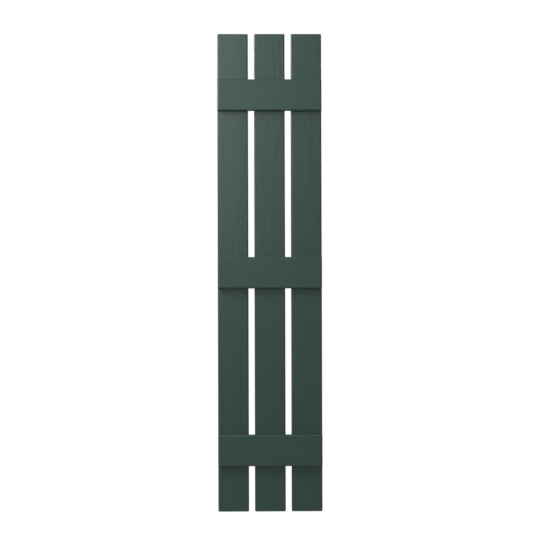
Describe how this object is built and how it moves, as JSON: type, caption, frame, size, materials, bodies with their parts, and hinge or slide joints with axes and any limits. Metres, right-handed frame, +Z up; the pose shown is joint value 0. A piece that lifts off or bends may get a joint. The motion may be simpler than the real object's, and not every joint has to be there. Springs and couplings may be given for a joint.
{
  "type": "board and batten shutter",
  "caption": "Fixed decorative window shutter: spaced upright boards tied by crossing battens, moulded hollow from the back and screwed together from behind.",
  "frame": {"origin": "middle of the back, on the spine of the middle board, in the plane that rests on the wall", "axes": "+X to the right as seen from outside, +Y into the wall, +Z up; the front faces -Y"},
  "size_m": [0.3048, 0.0317, 1.397],
  "materials": {
    "green_plastic": "satin, with a light moulded wood grain",
    "screw_steel": "zinc plated"
  },
  "bodies": {
    "root": {"board_left": "green_plastic", "board_middle": "green_plastic", "board_right": "green_plastic", "batten_bottom": "green_plastic", "batten_middle": "green_plastic", "batten_top": "green_plastic", "screw_bottom_left_1": "screw_steel", "screw_bottom_left_2": "screw_steel", "screw_bottom_middle_1": "screw_steel", "screw_bottom_middle_2": "screw_steel", "screw_bottom_right_1": "screw_steel", "screw_bottom_right_2": "screw_steel", "screw_middle_left_1": "screw_steel", "screw_middle_left_2": "screw_steel", "screw_middle_middle_1": "screw_steel", "screw_middle_middle_2": "screw_steel", "screw_middle_right_1": "screw_steel", "screw_middle_right_2": "screw_steel", "screw_top_left_1": "screw_steel", "screw_top_left_2": "screw_steel", "screw_top_middle_1": "screw_steel", "screw_top_middle_2": "screw_steel", "screw_top_right_1": "screw_steel", "screw_top_right_2": "screw_steel"}
  },
  "joints": []
}
